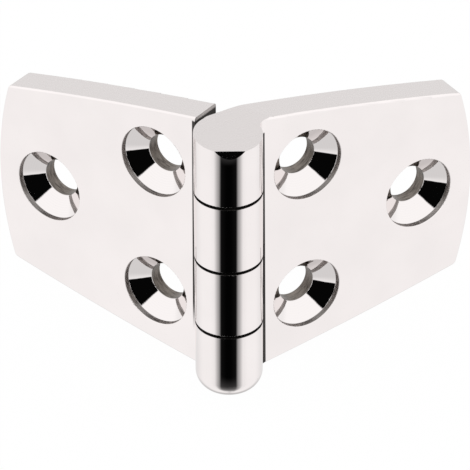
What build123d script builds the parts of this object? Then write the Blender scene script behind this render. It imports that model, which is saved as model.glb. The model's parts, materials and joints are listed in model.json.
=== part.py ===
"""Flush hinge of cast, polished stainless steel: two leaves with interleaved knuckles, and their pin.

+Z runs up the pin. The fixed leaf lies along -X, its back face on the plane Y = 0 and facing +Y.
The origin is the centre of that leaf's screw circle, on the back face. Sizes are in millimetres.
The other leaf is folded back past flat, so the two leaves stand in a V behind the barrel.
"""

import os
from math import isclose, radians, sqrt, tan

from build123d import *

os.makedirs("parts", exist_ok=True)

# Barrel: heights are from the leaves' mid-line
barrel_diameter = 8.9
barrel_top = 19.2
barrel_bottom = 19.9
knuckle_pitch = 9.93
middle_joint = 0.33
joint_gap = 0.4
joint_edge = 0.06
dome_radius = 2.5

# Top of the barrel: its stock is cut off on a slight fall from back to front, then a flat on its front edge
top_stock = 1.0
top_fall = 0.62
flat_inset = 0.72
flat_drop = 1.52
flat_bearing = 116.5

# Pin
pin_diameter = 4.5
pin_chamfer = 0.3
pin_end_gap = 0.3
running_clearance = 0.05
bore_cap = 2.6

# Leaves: all reaches, the shoulder and the start of the back are from the pin's axis
leaf_reach = 38.0
leaf_thickness = 4.6
front_setback = 0.35
leaf_height = 38.4
outer_height = 26.9
outer_bow = 2.0
shoulder = 4.6
shoulder_ease = 0.7
edge_bow = 0.3
corner_radius = 0.8
edge_round = 0.35
notch_reach = 5.4
root_reach = 5.6
root_depth = 0.5
root_end = 2.2
cove_radius = 1.5
barrel_sink = 0.03
back_start = 3.6
relief_angle = 2.5
heel_reach = 0.7
heel_round = 2.0
fold_back = 65.8

# Screw holes: three on a circle in each leaf
screw_count = 3
screw_circle = 23.2
screw_centre = 18.0
hole_diameter = 5.3
rim_diameter = 10.1
rim_edge = 0.12
lip_depth = 0.8
countersink_angle = 100.0

# Worked out from the sizes above
barrel_radius = barrel_diameter / 2
pin_radius = pin_diameter / 2
outer_corner = leaf_reach - outer_bow
back_depth = front_setback + leaf_thickness
pin_axis = Axis((screw_centre, -back_depth, 0), (0, 0, 1))
barrel_plane = Plane(pin_axis.position, x_dir=(1, 0, 0), z_dir=(0, -1, 0))
root_top = barrel_top - root_end
bore_end = barrel_top - bore_cap
bore_radius = pin_radius + running_clearance

fall_facing = Vector(1, 0, 0).rotate(Axis.Z, fold_back - 90)
fall_top = Vector(0, 0, barrel_top) - fall_facing * back_depth
fall_up = fall_facing * top_fall + Vector(0, 0, back_depth + barrel_radius)
fall_plane = Plane(pin_axis.position + fall_top, z_dir=fall_up)

flat_facing = Vector(1, 0, 0).rotate(Axis.Z, fold_back - flat_bearing)
flat_foot = flat_facing * barrel_radius + Vector(0, 0, barrel_top - flat_drop)
flat_plane = Plane(pin_axis.position + flat_foot, z_dir=flat_facing * flat_drop + Vector(0, 0, flat_inset))

joint_levels = [middle_joint + knuckle_pitch, middle_joint, middle_joint - knuckle_pitch]
knuckle_tops = [barrel_top + top_stock] + [level - joint_gap / 2 for level in joint_levels]
knuckle_bottoms = [level + joint_gap / 2 for level in joint_levels] + [-barrel_bottom]
knuckles = list(zip(knuckle_bottoms, knuckle_tops))
lower_edges = [joint_edge] * len(joint_levels) + [dome_radius]
top_knuckle, upper_knuckle, lower_knuckle, bottom_knuckle = range(len(knuckles))
right_knuckles = [top_knuckle, lower_knuckle]
left_knuckles = [upper_knuckle, bottom_knuckle]
left_grooves = [upper_knuckle]


def outline(face_plane):
    """Draw a leaf's outline: straight by the barrel, tapered edges, a bowed outer end."""
    half, outer_half = leaf_height / 2, outer_height / 2
    edge_middle = ((shoulder + outer_corner) / 2, (half + outer_half) / 2 + edge_bow)
    with BuildSketch(face_plane) as face:
        with BuildLine():
            Polyline((shoulder, half), (-barrel_radius, half), (-barrel_radius, -half), (shoulder, -half))
            upper = ThreePointArc((shoulder, half), edge_middle, (outer_corner, outer_half))
            ThreePointArc((shoulder, -half), (edge_middle[0], -edge_middle[1]), (outer_corner, -outer_half))
            ThreePointArc((outer_corner, outer_half), (leaf_reach, 0), (outer_corner, -outer_half))
        make_face()
        shoulder_turn = radians((upper % 0).get_angle(Vector(1, 0)))
        fillet(face.vertices().group_by(Axis.X)[1], shoulder_ease / tan(shoulder_turn / 2))
        fillet(face.vertices().group_by(Axis.X)[-1], corner_radius)
    return face.sketch


def plan(plan_plane):
    """Draw a leaf seen along the pin: the plate, its cove in front and its heel behind the barrel."""
    centre_reach = barrel_radius + cove_radius - barrel_sink
    centre_front = cove_radius - front_setback
    centre_out = sqrt(centre_reach**2 - centre_front**2)
    cove_end = Vector(centre_out, centre_front) * ((centre_reach - cove_radius) / centre_reach)
    back_edge = (back_start, -back_depth)
    heel_depth = back_depth - (back_start + heel_reach) * tan(radians(relief_angle))
    heel_top = Vector(-1, -1).normalized() * (barrel_radius - barrel_sink)
    with BuildSketch(plan_plane) as section:
        with BuildLine():
            front = Line((leaf_reach, -front_setback), (centre_out, -front_setback))
            TangentArc(front @ 1, cove_end, tangent=front % 1)
            Polyline(cove_end, (0, 0), heel_top, (-heel_reach, -heel_depth), back_edge)
            Polyline(back_edge, (leaf_reach, -back_depth), front @ 0)
        make_face()
        fillet(section.vertices().group_by(Axis.Y)[1], heel_round)
    return section.sketch


def knuckle_profile(index):
    """Draw half of a knuckle's section, with its upper and lower outer edges rounded."""
    low, high = knuckles[index]
    with BuildSketch(barrel_plane) as section:
        with Locations((0, low)):
            Rectangle(barrel_radius, high - low, align=(Align.MIN, Align.MIN))
        outer = section.vertices().group_by(Axis.X)[-1].sort_by(Axis.Y)
        fillet(outer[0], lower_edges[index])
        outer = section.vertices().group_by(Axis.X)[-1].sort_by(Axis.Y)
        fillet(outer[-1], joint_edge)
    return section.sketch


def cut_root(plan_plane, reach, low, high, floor):
    """Cut the plate away beside the barrel, between two levels and from its front down to a floor."""
    root_plane = Plane(plan_plane.origin + (0, 0, low), x_dir=plan_plane.x_dir, z_dir=plan_plane.z_dir)
    with BuildSketch(root_plane) as root:
        with Locations((-reach, floor)):
            Rectangle(2 * reach, 4 * back_depth, align=(Align.MIN, Align.MIN))
    extrude(root.sketch, amount=high - low, dir=(0, 0, 1), mode=Mode.SUBTRACT)


def leaf(bearing, front_turn, own, others, grooves):
    """Build one casting without its bore: plate, notches, root grooves, knuckles and countersunk holes."""
    outward = Vector(1, 0, 0).rotate(Axis.Z, bearing)
    front = outward.rotate(Axis.Z, front_turn)
    outward_axis = Axis(pin_axis.position, outward)
    front_axis = Axis(pin_axis.position, front)
    face_plane = Plane(pin_axis.position, x_dir=outward, z_dir=front)
    plan_plane = Plane(pin_axis.position, x_dir=outward, z_dir=outward.cross(front))
    with BuildPart() as casting:
        extrude(plan(plan_plane), amount=leaf_height, both=True)
        extrude(outline(face_plane), amount=barrel_diameter + back_depth, both=True, mode=Mode.INTERSECT)
        for plate_face in casting.faces().filter_by(front_axis):
            fillet(plate_face.edges().sort_by(outward_axis)[1:], edge_round)
        for index in others:
            low, high = knuckles[index]
            cut_root(plan_plane, notch_reach, low - joint_gap, high + joint_gap, -2 * back_depth)
        for index in grooves:
            low, high = knuckles[index]
            cut_root(plan_plane, root_reach, low, min(high, root_top), -front_setback - root_depth)
        for index in own:
            revolve(knuckle_profile(index), axis=pin_axis)
        with Locations(face_plane.offset(-front_setback - lip_depth)):
            with Locations((screw_centre, 0)):
                with PolarLocations(screw_circle / 2, screw_count):
                    CounterSinkHole(
                        hole_diameter / 2, rim_diameter / 2, counter_sink_angle=countersink_angle
                    )
        rims = casting.edges().filter_by(lambda edge: is_round(edge, rim_diameter / 2))
        fillet(rims.group_by(front_axis)[-1], rim_edge)
    return casting.part


def is_round(edge, radius):
    """Say whether an edge is a full circle of this radius."""
    return edge.geom_type == GeomType.CIRCLE and edge.is_closed and isclose(edge.radius, radius)


def cut_bore(low, high, radius):
    """Cut a round hole along the pin's axis out of the part being built."""
    with BuildSketch(Plane(pin_axis.position + (0, 0, low))) as mouth:
        Circle(radius)
    extrude(mouth.sketch, amount=high - low, mode=Mode.SUBTRACT)


with BuildPart() as left_leaf:
    add(leaf(180, 90, left_knuckles, right_knuckles, left_grooves))
    cut_bore(*knuckles[upper_knuckle], bore_radius)
    cut_bore(*knuckles[bottom_knuckle], pin_radius)
left_leaf.part.label = "left_leaf"
export_step(left_leaf.part, "parts/left_leaf.step")

with BuildPart() as right_leaf:
    add(leaf(fold_back, -90, right_knuckles, left_knuckles, right_knuckles))
    cut_bore(knuckle_bottoms[lower_knuckle], bore_end, bore_radius)
    split(bisect_by=fall_plane, keep=Keep.BOTTOM)
    split(bisect_by=flat_plane, keep=Keep.BOTTOM)
right_leaf.part.label = "right_leaf"
export_step(right_leaf.part, "parts/right_leaf.step")

with BuildPart() as hinge_pin:
    with BuildSketch(Plane(pin_axis.position - (0, 0, barrel_bottom))):
        Circle(pin_radius)
    extrude(amount=bore_end - pin_end_gap + barrel_bottom)
    chamfer(hinge_pin.edges().filter_by(GeomType.CIRCLE), pin_chamfer)
hinge_pin.part.label = "hinge_pin"
export_step(hinge_pin.part, "parts/hinge_pin.step")
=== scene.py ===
"""Finish and stage of a cast flush hinge in polished stainless steel, laid out as an add-on.

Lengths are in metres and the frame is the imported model's: +Z runs up the pin, and the fixed leaf's
back faces +Y. A leaf's finish works in millimetres in the leaf's own frame: its origin is the centre
of the screw circle on the back face, X runs out from the pin and Z up the pin.
"""

import json
from math import atan2, cos, radians, sin, tau
from types import SimpleNamespace

import bpy
from bpy.props import FloatProperty, FloatVectorProperty, PointerProperty, StringProperty
from mathutils import Matrix, Vector


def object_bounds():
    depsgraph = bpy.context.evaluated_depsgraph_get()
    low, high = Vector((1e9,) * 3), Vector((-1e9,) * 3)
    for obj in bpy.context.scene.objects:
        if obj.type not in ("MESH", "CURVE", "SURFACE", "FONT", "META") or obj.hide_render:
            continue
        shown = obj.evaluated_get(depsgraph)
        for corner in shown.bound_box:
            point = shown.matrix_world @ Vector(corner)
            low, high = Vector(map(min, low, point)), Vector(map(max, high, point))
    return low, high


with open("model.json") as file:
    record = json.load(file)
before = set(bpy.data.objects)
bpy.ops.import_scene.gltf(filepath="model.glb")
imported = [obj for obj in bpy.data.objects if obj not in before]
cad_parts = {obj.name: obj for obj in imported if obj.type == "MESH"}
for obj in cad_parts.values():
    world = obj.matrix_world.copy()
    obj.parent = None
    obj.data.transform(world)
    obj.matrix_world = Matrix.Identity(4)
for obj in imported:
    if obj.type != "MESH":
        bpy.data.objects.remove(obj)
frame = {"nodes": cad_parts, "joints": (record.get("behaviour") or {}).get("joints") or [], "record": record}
cad_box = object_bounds()

bl_info = {
    "name": "Flush hinge finish",
    "version": (1, 0, 0),
    "blender": (4, 5, 0),
    "location": "3D View > Sidebar > Flush hinge",
    "description": "Gives a cast flush hinge its polished steel finish and a plain studio stage",
    "category": "Object",
}

MILLIMETRE = 0.001

# Sizes of the finishes' patterns in millimetres, along X, Y and Z where there are three. Belt lines are
# coarser than the real grit, so that they show. Drill marks lie round the holes.
BELT_LINE = (6.0, 0.15, 0.15)
DRILL_MARK = (1.2, 0.3, 1.2)
DRAW_MARK = (0.1, 0.1, 5.0)
# Mottle of the painted shade in the joints and by the roots
SHADE_PATCH = 1.5
BUFFED_SWELL = 7.0
TURNED_RING = 0.25

# A noise texture keeps mostly between these values
NOISE_LOW, NOISE_HIGH = 0.3, 0.7

# Scale of an axis that a distance leaves out, and a distance beyond every hole, in millimetres
FLATTENED = 1e6
FAR = 100.0

# Floor: half its width and its gap under the barrel, in metres, and how much of it is pure white
FLOOR_HALF = 3.0
FLOOR_GAP = 0.0001
FLOOR_GLOW = 0.985

# Card by the barrel, in metres from the pin's middle
CARD_HALF_WIDTH = 0.0058
CARD_FOOT = -0.036
CARD_HEAD = 0.0165

# Dark bars in the surroundings, each a flat band of directions: what it is square to, and its offset.
# A bar's edge is where its dark starts and where it is full.
DARK_BARS = (((0.742, 0.610, 0.278), 0.591), ((-0.682, 0.673, 0.288), 0.549))
BAR_EDGE = (0.030, 0.024)
DARK = 0.002

# Camera sensor, in millimetres
SENSOR_WIDTH = 36.0

mounts = {mount["name"]: mount for mount in frame["record"]["mounts"]}
pin_place = Vector(frame["joints"][0]["pos_m"])


class FLUSHHINGE_PG_finish(bpy.types.PropertyGroup):
    """Colours of the steel's finishes and of the painted shade, and the sizes that say where each lies."""

    polished: StringProperty(
        name="Polished", description="Buffed fronts and barrel, sRGB hex", default="#F5EFEE"
    )
    linished: StringProperty(
        name="Linished", description="Edges and barrel top, sRGB hex", default="#D4CFCE"
    )
    ground: StringProperty(name="Ground", description="Back faces, sRGB hex", default="#CBC7C4")
    # Cast: colour of the painted shade in the joints between the knuckles, along the roots beside the barrel
    # and on the plates' inner ends
    cast: StringProperty(
        name="Cast", description="Roots beside the barrel, left as cast, sRGB hex", default="#4E4B49"
    )
    turned: StringProperty(
        name="Turned", description="Cones of the countersinks, sRGB hex", default="#F0EBEA"
    )
    # Lip and drilled: colours of the countersinks' lips and the screw holes' walls, darkened as painted
    # shade inside the holes over their own marked steel
    lip: StringProperty(
        name="Lip", description="Straight lips of the countersinks, sRGB hex", default="#AFAAA7"
    )
    drilled: StringProperty(
        name="Drilled", description="Straight walls of the screw holes, sRGB hex", default="#8B837C"
    )
    drawn: StringProperty(name="Drawn", description="The pin, sRGB hex", default="#CFCDCA")
    leaf_thickness: FloatProperty(
        name="Leaf thickness", description="From a leaf's back to its front",
        default=0.0046, unit="LENGTH",
    )
    barrel_radius: FloatProperty(
        name="Barrel radius", description="Outside of the knuckles", default=0.00445, unit="LENGTH"
    )
    # Reach, lean and ends of the painted shade along the roots beside the barrel: where it stops on each
    # front, how it widens downwards, its top on the right leaf and its fade at the foot of the left
    left_root_shade: FloatProperty(
        name="Left root", description="From the pin's axis to the polish of the left front",
        default=0.00597, unit="LENGTH",
    )
    right_root_shade: FloatProperty(
        name="Right root", description="From the pin's axis to the polish of the right front",
        default=0.00569, unit="LENGTH",
    )
    root_shade_lean: FloatProperty(
        name="Root lean", description="How much the roots widen downwards, per length",
        default=0.0065, unit="NONE",
    )
    root_shade_top: FloatProperty(
        name="Root top", description="Upper end of the right leaf's root groove",
        default=0.017, unit="LENGTH",
    )
    root_shade_foot: FloatProperty(
        name="Root foot", description="Where the left leaf's dark root has faded out",
        default=-0.0143, unit="LENGTH",
    )
    root_shade_fade: FloatProperty(
        name="Root fade", description="Length over which the left leaf's dark root fades",
        default=0.0053, unit="LENGTH",
    )
    # Top of the painted shade on the plates' inner ends and along the roots beside the barrel
    wall_shade_top: FloatProperty(
        name="Wall top", description="Where belt work on the plates' inner ends stops",
        default=0.01855, unit="LENGTH",
    )
    rim_radius: FloatProperty(
        name="Rim radius", description="Outer edge of a countersink", default=0.00505, unit="LENGTH"
    )
    lip_depth: FloatProperty(
        name="Lip depth", description="Straight lip above a countersink's cone",
        default=0.0008, unit="LENGTH",
    )
    cone_depth: FloatProperty(
        name="Cone depth", description="From a leaf's front to the foot of the cone",
        default=0.00281, unit="LENGTH",
    )


class FLUSHHINGE_PG_stage(bpy.types.PropertyGroup):
    """Light, floor and camera."""

    floor: StringProperty(name="Floor", description="Floor colour, sRGB hex", default="#F4F4F4")
    card_distance: FloatProperty(
        name="Card distance", description="From the pin's axis to the graded card",
        default=0.007, unit="LENGTH",
    )
    card_lean: FloatProperty(
        name="Card lean", description="Turn of the card in its own plane",
        default=radians(0.65), unit="ROTATION",
    )
    heading: FloatProperty(
        name="Heading", description="Turn of the lights about the vertical",
        default=radians(35.06), unit="ROTATION",
    )
    camera_place: FloatVectorProperty(
        name="Camera place", description="Where the camera stands",
        default=(0.24291, -0.32218, 0.25705), subtype="TRANSLATION", unit="LENGTH",
    )
    camera_heading: FloatProperty(
        name="Camera heading", description="Turn of the camera about the vertical",
        default=radians(35.213), unit="ROTATION",
    )
    camera_pitch: FloatProperty(
        name="Pitch", description="How far the camera looks down",
        default=radians(33.107), unit="ROTATION",
    )
    camera_roll: FloatProperty(
        name="Roll", description="Turn of the camera about its own axis",
        default=radians(-0.213), unit="ROTATION",
    )
    lens: FloatProperty(name="Lens", description="Focal length", default=275.6, unit="CAMERA")


class FLUSHHINGE_PG_settings(bpy.types.PropertyGroup):
    """All settings of the hinge."""

    finish: PointerProperty(
        name="Finish", description="The steel's finishes", type=FLUSHHINGE_PG_finish
    )
    stage: PointerProperty(
        name="Stage", description="Light, floor and camera", type=FLUSHHINGE_PG_stage
    )


def linear(hex_colour):
    """Turn an sRGB hex value into linear red, green, blue and full alpha."""
    channels = [int(hex_colour[i : i + 2], 16) / 255 for i in (1, 3, 5)]
    return [c / 12.92 if c <= 0.04045 else ((c + 0.055) / 1.055) ** 2.4 for c in channels] + [1.0]


def add_node(tree, kind, settings=None, **inputs):
    """Add a node, set its settings and fill its inputs, and give its first live output.

    An input takes a value or a link. It is named as in Blender, with _ for a space, or numbered, as
    in _0.
    """
    node = tree.nodes.new(kind)
    for name, value in (settings or {}).items():
        setattr(node, name, value)
    for name, value in inputs.items():
        key = int(name[1:]) if name[1:].isdigit() else name.replace("_", " ")
        if isinstance(value, bpy.types.NodeSocket):
            tree.links.new(value, node.inputs[key])
        else:
            node.inputs[key].default_value = value
    return next((socket for socket in node.outputs if socket.enabled), None)


def empty_tree(owner):
    """Clear the node tree of a material or world and give it back."""
    owner.use_nodes = True
    owner.node_tree.nodes.clear()
    return owner.node_tree


def where(tree, *ramps):
    """Give the share of a surface where all ramps hold.

    A ramp is a value, where its share is 0 and where it is 1.
    """
    share = 1.0
    for value, none, full in ramps:
        ramp = add_node(
            tree, "ShaderNodeMapRange", {"interpolation_type": "SMOOTHSTEP"},
            Value=value, From_Min=none, From_Max=full,
        )
        share = add_node(tree, "ShaderNodeMath", {"operation": "MULTIPLY"}, _0=share, _1=ramp)
    return share


def leaf_place(side):
    """Give a leaf's screw circle centre, its outward and front directions, and its holes' places."""
    mount = mounts[f"{side}_screws"]
    centre, back = Vector(mount["pos_m"]), Vector(mount["axis"])
    outward = centre - pin_place
    outward = (outward - back * outward.dot(back)).normalized()
    circle = mount["dims"]["pcd_mm"] / 2 * MILLIMETRE
    turns = [tau * i / mount["dims"]["count"] for i in range(mount["dims"]["count"])]
    holes = [centre + circle * (outward * cos(turn) + Vector((0, 0, sin(turn)))) for turn in turns]
    return centre, outward, -back, holes


def measure_leaf(tree, side, finish):
    """Measure a point of a leaf: its place and distances in millimetres, and how its surface faces."""
    centre, outward, front, holes = leaf_place(side)
    turn = atan2(outward.y, outward.x)
    coordinates = add_node(tree, "ShaderNodeTexCoord").node.outputs
    place, normal = coordinates["Object"], coordinates["Normal"]
    point = SimpleNamespace()

    # Place in the leaf's frame, depth under its front, and distance out from its root
    point.leaf = add_node(
        tree, "ShaderNodeMapping", {"vector_type": "TEXTURE"},
        Vector=place, Location=centre, Rotation=(0, 0, turn), Scale=(MILLIMETRE,) * 3,
    )
    axes = add_node(tree, "ShaderNodeSeparateXYZ", Vector=point.leaf).node.outputs
    point.up = axes["Z"]
    thickness = finish.leaf_thickness / MILLIMETRE
    rise = add_node(tree, "ShaderNodeMath", {"operation": "ABSOLUTE"}, _0=axes["Y"])
    point.depth = add_node(tree, "ShaderNodeMath", {"operation": "SUBTRACT"}, _0=thickness, _1=rise)
    reach = (centre - pin_place).dot(outward) / MILLIMETRE
    from_pin = add_node(tree, "ShaderNodeMath", {"operation": "ADD"}, _0=axes["X"], _1=reach)
    lean = add_node(tree, "ShaderNodeMath", {"operation": "MULTIPLY"}, _0=point.up, _1=finish.root_shade_lean)
    point.from_root = add_node(tree, "ShaderNodeMath", {"operation": "ADD"}, _0=from_pin, _1=lean)

    # Distances from the pin's axis and from the nearest hole's axis
    beside_pin = add_node(
        tree, "ShaderNodeMapping", {"vector_type": "TEXTURE"},
        Vector=place, Location=pin_place, Scale=(MILLIMETRE, MILLIMETRE, FLATTENED),
    )
    point.pin_distance = add_node(
        tree, "ShaderNodeVectorMath", {"operation": "LENGTH"}, _0=beside_pin
    )
    nearest = FAR
    for hole in holes:
        beside_hole = add_node(
            tree, "ShaderNodeMapping", {"vector_type": "TEXTURE"},
            Vector=place, Location=hole, Rotation=(0, 0, turn),
            Scale=(MILLIMETRE, FLATTENED, MILLIMETRE),
        )
        distance = add_node(tree, "ShaderNodeVectorMath", {"operation": "LENGTH"}, _0=beside_hole)
        nearest = add_node(tree, "ShaderNodeMath", {"operation": "MINIMUM"}, _0=nearest, _1=distance)
    point.hole_distance = nearest

    # How far the surface faces the front, the outer end and upwards, and how level it is
    point.to_front, point.to_end, point.to_sky = (
        add_node(tree, "ShaderNodeVectorMath", {"operation": "DOT_PRODUCT"}, _0=normal, _1=direction)
        for direction in (front, outward, Vector((0, 0, 1)))
    )
    point.level = add_node(tree, "ShaderNodeMath", {"operation": "ABSOLUTE"}, _0=point.to_sky)
    return point


def steel_coats(tree, point, finish):
    """Make each finish of the steel and the painted shade: colour, roughness and relief in millimetres."""
    noises = {
        "belt": (BELT_LINE, 2.0),
        "cloud": ((SHADE_PATCH,) * 3, 4.0),
        "marks": (DRILL_MARK, 3.0),
        "swell": ((BUFFED_SWELL,) * 3, 2.0),
    }
    patterns = {}
    for pattern, (sizes, detail) in noises.items():
        scaled = add_node(tree, "ShaderNodeMapping", Vector=point.leaf, Scale=[1 / s for s in sizes])
        noise = add_node(tree, "ShaderNodeTexNoise", Vector=scaled, Scale=1.0, Detail=detail)
        patterns[pattern] = add_node(
            tree, "ShaderNodeMapRange", Value=noise, From_Min=NOISE_LOW, From_Max=NOISE_HIGH
        )
    half_ring = TURNED_RING / 2
    rings = add_node(
        tree, "ShaderNodeMath", {"operation": "PINGPONG"}, _0=point.hole_distance, _1=half_ring
    )
    patterns["rings"] = add_node(tree, "ShaderNodeMapRange", Value=rings, From_Max=half_ring)

    # Each finish: colour, how dark its pattern goes, pattern, roughness at both ends, relief
    finishes = {
        "linished": (finish.linished, 0.985, "belt", 0.26, 0.34, 0.0001),
        "buffed": (finish.polished, 0.965, "swell", 0.03, 0.045, 0.0010),
        "ground": (finish.ground, 0.88, "belt", 0.34, 0.50, 0.0008),
        # Painted shade for the joints, the roots beside the barrel and the plates' inner ends, mottled by
        # the cloud pattern
        "cast": (finish.cast, 0.60, "cloud", 0.45, 0.70, 0.0100),
        # Drill marks, with painted shade darkening the walls inside the holes
        "drilled": (finish.drilled, 0.25, "marks", 0.20, 0.50, 0.0100),
        "turned": (finish.turned, 0.98, "rings", 0.008, 0.012, 0.0002),
        # Painted shade darkening the lips inside the countersinks
        "lip": (finish.lip, 0.45, "marks", 0.25, 0.45, 0.0040),
    }
    coats = {}
    for coat, (hex_colour, darkest, pattern, smooth, rough, relief) in finishes.items():
        bright = linear(hex_colour)
        dark = [channel * darkest for channel in bright[:3]] + [1.0]
        share = patterns[pattern]
        coats[coat] = (
            add_node(tree, "ShaderNodeMix", {"data_type": "RGBA"}, _0=share, _6=dark, _7=bright),
            add_node(tree, "ShaderNodeMapRange", Value=share, To_Min=smooth, To_Max=rough),
            add_node(tree, "ShaderNodeMath", {"operation": "MULTIPLY"}, _0=share, _1=relief),
        )
    return coats


def steel_layers(point, side, finish):
    """Say where each finish and the painted shade lie over the linished steel, in the order of the work.

    A ramp's ends are millimetres for a place, and cosines for a direction that the surface faces.
    """
    barrel = finish.barrel_radius / MILLIMETRE
    root = (finish.left_root_shade if side == "left" else finish.right_root_shade) / MILLIMETRE
    root_shade_top = finish.root_shade_top / MILLIMETRE
    root_shade_foot = finish.root_shade_foot / MILLIMETRE
    root_shade_fade = finish.root_shade_fade / MILLIMETRE
    wall_shade_top = finish.wall_shade_top / MILLIMETRE
    rim = finish.rim_radius / MILLIMETRE
    lip = finish.lip_depth / MILLIMETRE
    cone = finish.cone_depth / MILLIMETRE
    low, high = (corner.z / MILLIMETRE for corner in cad_box)
    on_side = (point.to_sky, 0.93, 0.80)
    between_ends = ((point.up, low + 2, low + 3), (point.up, high - 2, high - 3))
    at_barrel = (point.pin_distance, barrel + 0.10, barrel + 0.04)
    off_barrel = (point.pin_distance, barrel + 0.04, barrel + 0.10)
    # Masks of the painted shade: in the joints, beside the barrel, below the wall top and along the roots'
    # height
    joint_shade = (point.pin_distance, barrel + 0.03, barrel - 0.01)
    shade_by_barrel = (point.from_root, root + 0.06, root + 0.01)
    below_wall_top = (point.up, wall_shade_top + 0.15, wall_shade_top - 0.15)
    if side == "left":
        root_shade_span = (point.up, root_shade_foot, root_shade_foot + root_shade_fade)
    else:
        root_shade_span = (point.up, root_shade_top + 0.2, root_shade_top - 0.2)
    in_hole = (
        (point.hole_distance, rim + 0.10, rim + 0.01), (point.depth, 0.02, 0.10),
        (point.to_front, -0.75, -0.55),
    )
    return (
        ("buffed", (point.to_front, 0.10, 0.35)),
        ("ground", (point.to_front, -0.970, -0.995), off_barrel),
        ("buffed", at_barrel, on_side),
        # Painted shade in the joints between the knuckles
        ("cast", joint_shade, (point.level, 0.35, 0.60), *between_ends),
        # Painted shade along the fronts beside the barrel
        ("cast", shade_by_barrel, off_barrel, on_side, (point.depth, 1.3, 1.0), root_shade_span, below_wall_top),
        # Painted shade on the plates' inner ends, facing the barrel
        ("cast", shade_by_barrel, off_barrel, (point.to_end, -0.5, -0.7), below_wall_top),
        # Painted shade down the screw holes' walls, over their drill marks
        ("drilled", *in_hole),
        ("turned", *in_hole, (point.depth, cone + 0.04, cone - 0.04)),
        # Painted shade on the countersinks' lips
        ("lip", *in_hole, (point.depth, lip + 0.04, lip - 0.04)),
    )


def polished_steel(name, side, finish):
    """Investment-cast stainless steel, with the finish that each of its surfaces was given.

    The fronts, rounded edges and barrel are buffed to a mirror. The edges and the barrel's top are
    linished on a belt, the back is ground, and the holes are drilled and countersunk. Painted shade
    darkens the joints, the roots beside the barrel, the plates' inner ends and the holes' walls
    and lips.
    """
    material = bpy.data.materials.new(name)
    tree = empty_tree(material)
    point = measure_leaf(tree, side, finish)
    coats = steel_coats(tree, point, finish)
    colour, roughness, relief = coats["linished"]
    for coat, *ramps in steel_layers(point, side, finish):
        share = where(tree, *ramps)
        coat_colour, coat_roughness, coat_relief = coats[coat]
        colour = add_node(
            tree, "ShaderNodeMix", {"data_type": "RGBA"}, _0=share, _6=colour, _7=coat_colour
        )
        roughness = add_node(tree, "ShaderNodeMix", _0=share, _2=roughness, _3=coat_roughness)
        relief = add_node(tree, "ShaderNodeMix", _0=share, _2=relief, _3=coat_relief)
    bump = add_node(tree, "ShaderNodeBump", Strength=1.0, Distance=MILLIMETRE, Height=relief)
    shader = add_node(
        tree, "ShaderNodeBsdfPrincipled",
        Base_Color=colour, Metallic=1.0, Roughness=roughness, Normal=bump,
    )
    add_node(tree, "ShaderNodeOutputMaterial", Surface=shader)
    return material


def drawn_steel(name, finish):
    """Drawn stainless rod: evenly bright, with fine marks along it."""
    material = bpy.data.materials.new(name)
    tree = empty_tree(material)
    place = add_node(tree, "ShaderNodeTexCoord").node.outputs["Object"]
    stretched = add_node(
        tree, "ShaderNodeMapping", {"vector_type": "TEXTURE"},
        Vector=place, Scale=[size * MILLIMETRE for size in DRAW_MARK],
    )
    marks = add_node(tree, "ShaderNodeTexNoise", Vector=stretched, Scale=1.0)
    roughness = add_node(tree, "ShaderNodeMapRange", Value=marks, To_Min=0.22, To_Max=0.38)
    shader = add_node(
        tree, "ShaderNodeBsdfPrincipled",
        Base_Color=linear(finish.drawn), Metallic=1.0, Roughness=roughness,
    )
    add_node(tree, "ShaderNodeOutputMaterial", Surface=shader)
    return material


def dress(node, material):
    """Give a CAD node's object its finish."""
    for slot in frame["nodes"][node].material_slots:
        slot.material = material


class FLUSHHINGE_OT_finish_leaves(bpy.types.Operator):
    """Give both castings their finish"""

    bl_idname = "flush_hinge.finish_leaves"
    bl_label = "Finish leaves"

    def execute(self, context):
        finish = context.scene.flush_hinge.finish
        for side in ("left", "right"):
            dress(f"{side}_leaf", polished_steel(f"polished_cast_stainless_{side}", side, finish))
        return {"FINISHED"}


class FLUSHHINGE_OT_finish_pin(bpy.types.Operator):
    """Give the pin its finish"""

    bl_idname = "flush_hinge.finish_pin"
    bl_label = "Finish pin"

    def execute(self, context):
        dress("hinge_pin", drawn_steel("drawn_stainless_rod", context.scene.flush_hinge.finish))
        return {"FINISHED"}


class FLUSHHINGE_OT_stage(bpy.types.Operator):
    """Set up the floor, the light and the camera"""

    bl_idname = "flush_hinge.stage"
    bl_label = "Set the stage"

    def execute(self, context):
        scene = context.scene
        stage = scene.flush_hinge.stage
        scene.view_settings.view_transform = "Standard"
        lay_floor(scene, stage)
        hang_card(scene, stage)
        light(scene, stage)
        place_camera(scene, stage)
        return {"FINISHED"}


def stage_sheet(scene, name, corners):
    """Add a flat stage sheet from its four corners and give it back with its material's node tree."""
    mesh = bpy.data.meshes.new(name)
    mesh.from_pydata(corners, [], [(0, 1, 3, 2)])
    sheet = bpy.data.objects.new(name, mesh)
    scene.collection.objects.link(sheet)
    material = bpy.data.materials.new(name)
    mesh.materials.append(material)
    return sheet, empty_tree(material)


def lay_floor(scene, stage):
    """Lay a pale floor under the lowest knuckle. It is white to the camera and keeps a soft shadow."""
    level = cad_box[0].z - FLOOR_GAP
    ends = (-FLOOR_HALF, FLOOR_HALF)
    floor, tree = stage_sheet(scene, "pale_floor", [(x, y, level) for y in ends for x in ends])
    floor.visible_glossy = False
    paint = add_node(tree, "ShaderNodeBsdfDiffuse", Color=linear(stage.floor))
    glow = add_node(tree, "ShaderNodeEmission", Strength=1.0)
    seen = add_node(tree, "ShaderNodeLightPath").node.outputs["Is Camera Ray"]
    share = add_node(tree, "ShaderNodeMath", {"operation": "MULTIPLY"}, _0=seen, _1=FLOOR_GLOW)
    mixed = add_node(tree, "ShaderNodeMixShader", _0=share, _1=paint, _2=glow)
    add_node(tree, "ShaderNodeOutputMaterial", Surface=mixed)


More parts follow.
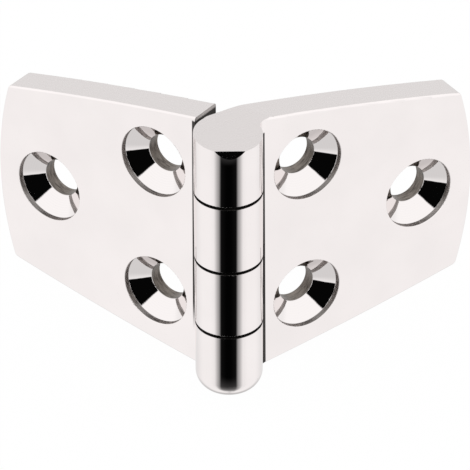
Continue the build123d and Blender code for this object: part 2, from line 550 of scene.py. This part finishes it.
def hang_card(scene, stage):
    """Hang a card before the barrel, black in the middle and graded to white. Only mirrors show it."""
    sides, ends = (-CARD_HALF_WIDTH, CARD_HALF_WIDTH), (CARD_FOOT, CARD_HEAD)
    corners = [(x, -stage.card_distance, z) for z in ends for x in sides]
    card, tree = stage_sheet(scene, "graded_card", corners)
    turn = Matrix.Rotation(stage.heading, 4, "Z") @ Matrix.Rotation(stage.card_lean, 4, "Y")
    card.matrix_world = Matrix.Translation(pin_place) @ turn
    for ray in ("camera", "diffuse", "transmission", "shadow"):
        setattr(card, f"visible_{ray}", False)
    place = add_node(tree, "ShaderNodeTexCoord").node.outputs["Object"]
    scaled = add_node(
        tree, "ShaderNodeMapping", {"vector_type": "TEXTURE"}, Vector=place, Scale=(MILLIMETRE,) * 3
    )
    axes = add_node(tree, "ShaderNodeSeparateXYZ", Vector=scaled).node.outputs
    up = axes["Z"]
    aside = add_node(tree, "ShaderNodeMath", {"operation": "ABSOLUTE"}, _0=axes["X"])

    # Each tone with where it starts and is full, in millimetres: the black, paler at its head and
    # foot, then its edges and the grey beside it, then the card's lower end
    level = 0.001
    for tone, *ramp in (
        (0.004, aside, 0.4, 2.0),
        (0.03, up, 15.0, 16.5),
        (0.19, up, -17.6, -24.0),
        (0.30, aside, 2.15, 3.1),
        (0.95, aside, 2.4, 5.8),
        (1.0, up, -21.0, -35.0),
    ):
        level = add_node(tree, "ShaderNodeMix", _0=where(tree, ramp), _2=level, _3=tone)
    glow = add_node(tree, "ShaderNodeEmission", Strength=level)
    add_node(tree, "ShaderNodeOutputMaterial", Surface=glow)


def light(scene, stage):
    """Light the hinge with white from all round, with dark bars and a dark card by the camera."""
    world = bpy.data.worlds.new("studio")
    scene.world = world
    tree = empty_tree(world)
    ray = add_node(tree, "ShaderNodeTexCoord").node.outputs["Generated"]
    turned = add_node(
        tree, "ShaderNodeMapping", {"vector_type": "TEXTURE"},
        Vector=ray, Rotation=(0, 0, stage.heading),
    )

    # Bearing from the camera's side, and height above the horizon, in degrees
    axes = add_node(tree, "ShaderNodeSeparateXYZ", Vector=turned).node.outputs
    towards = add_node(tree, "ShaderNodeMath", {"operation": "MULTIPLY"}, _0=axes["Y"], _1=-1.0)
    angle = add_node(tree, "ShaderNodeMath", {"operation": "ARCTAN2"}, _0=axes["X"], _1=towards)
    slope = add_node(tree, "ShaderNodeMath", {"operation": "ARCSINE"}, _0=axes["Z"])
    bearing, height = (
        add_node(tree, "ShaderNodeMath", {"operation": "DEGREES"}, _0=value) for value in (angle, slope)
    )
    spread = add_node(tree, "ShaderNodeMath", {"operation": "ABSOLUTE"}, _0=bearing)
    bars = []
    for square, offset in DARK_BARS:
        along = add_node(
            tree, "ShaderNodeVectorMath", {"operation": "DOT_PRODUCT"}, _0=turned, _1=square
        )
        beside = add_node(tree, "ShaderNodeMath", {"operation": "ADD"}, _0=along, _1=offset)
        bars.append(add_node(tree, "ShaderNodeMath", {"operation": "ABSOLUTE"}, _0=beside))

    # The floor's grey in front and behind, the brighter sky, then the dark card and bars
    by_camera = ((spread, 26, 22), (height, -26, -24), (height, 28.5, 26))
    level = 1.0
    for tone, *ramps in (
        (0.74, (spread, 70, 25), (height, -20, -42)),
        (0.60, (spread, 95, 150), (height, -15, -60)),
        (1.10, (height, 0, 14)),
        (DARK, (bearing, 4, 5), (bearing, 11.5, 10.5), (height, 14.5, 15.5), (height, 23, 22)),
        *((DARK, (bar, *BAR_EDGE), *by_camera) for bar in bars),
    ):
        level = add_node(tree, "ShaderNodeMix", _0=where(tree, *ramps), _2=level, _3=tone)
    seen = add_node(tree, "ShaderNodeLightPath").node.outputs["Is Camera Ray"]
    strength = add_node(tree, "ShaderNodeMix", _0=seen, _2=level, _3=1.0)
    background = add_node(tree, "ShaderNodeBackground", Color=(1, 1, 1, 1), Strength=strength)
    add_node(tree, "ShaderNodeOutputWorld", Surface=background)


def place_camera(scene, stage):
    """Stand the camera at the photograph's angle."""
    data = bpy.data.cameras.new("camera")
    data.lens = stage.lens
    data.sensor_width = SENSOR_WIDTH
    camera = bpy.data.objects.new("camera", data)
    heading = Matrix.Rotation(stage.camera_heading, 4, "Z")
    pitch = Matrix.Rotation(radians(90) - stage.camera_pitch, 4, "X")
    roll = Matrix.Rotation(stage.camera_roll, 4, "Z")
    camera.matrix_world = Matrix.Translation(stage.camera_place) @ heading @ pitch @ roll
    scene.collection.objects.link(camera)
    scene.camera = camera


class FLUSHHINGE_PT_sidebar(bpy.types.Panel):
    """Lists the hinge's settings and steps"""

    bl_idname = "FLUSHHINGE_PT_sidebar"
    bl_label = "Flush hinge"
    bl_space_type = "VIEW_3D"
    bl_region_type = "UI"
    bl_category = "Flush hinge"

    def draw(self, context):
        settings = context.scene.flush_hinge
        for group in (settings.finish, settings.stage):
            box = self.layout.box()
            for name in group.__annotations__:
                box.prop(group, name)
        for operator in OPERATORS:
            self.layout.operator(operator.bl_idname)


OPERATORS = (FLUSHHINGE_OT_finish_leaves, FLUSHHINGE_OT_finish_pin, FLUSHHINGE_OT_stage)
GROUPS = (FLUSHHINGE_PG_finish, FLUSHHINGE_PG_stage, FLUSHHINGE_PG_settings)
CLASSES = (*GROUPS, *OPERATORS, FLUSHHINGE_PT_sidebar)


def register():
    """Register the classes and put the settings on the scene."""
    for cls in CLASSES:
        bpy.utils.register_class(cls)
    bpy.types.Scene.flush_hinge = PointerProperty(type=FLUSHHINGE_PG_settings)


def unregister():
    """Take the settings off the scene and remove the classes."""
    del bpy.types.Scene.flush_hinge
    for cls in reversed(CLASSES):
        bpy.utils.unregister_class(cls)


def main():
    """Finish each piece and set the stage."""
    register()
    bpy.ops.flush_hinge.finish_leaves()
    bpy.ops.flush_hinge.finish_pin()
    bpy.ops.flush_hinge.stage()


if __name__ == "__main__":
    main()
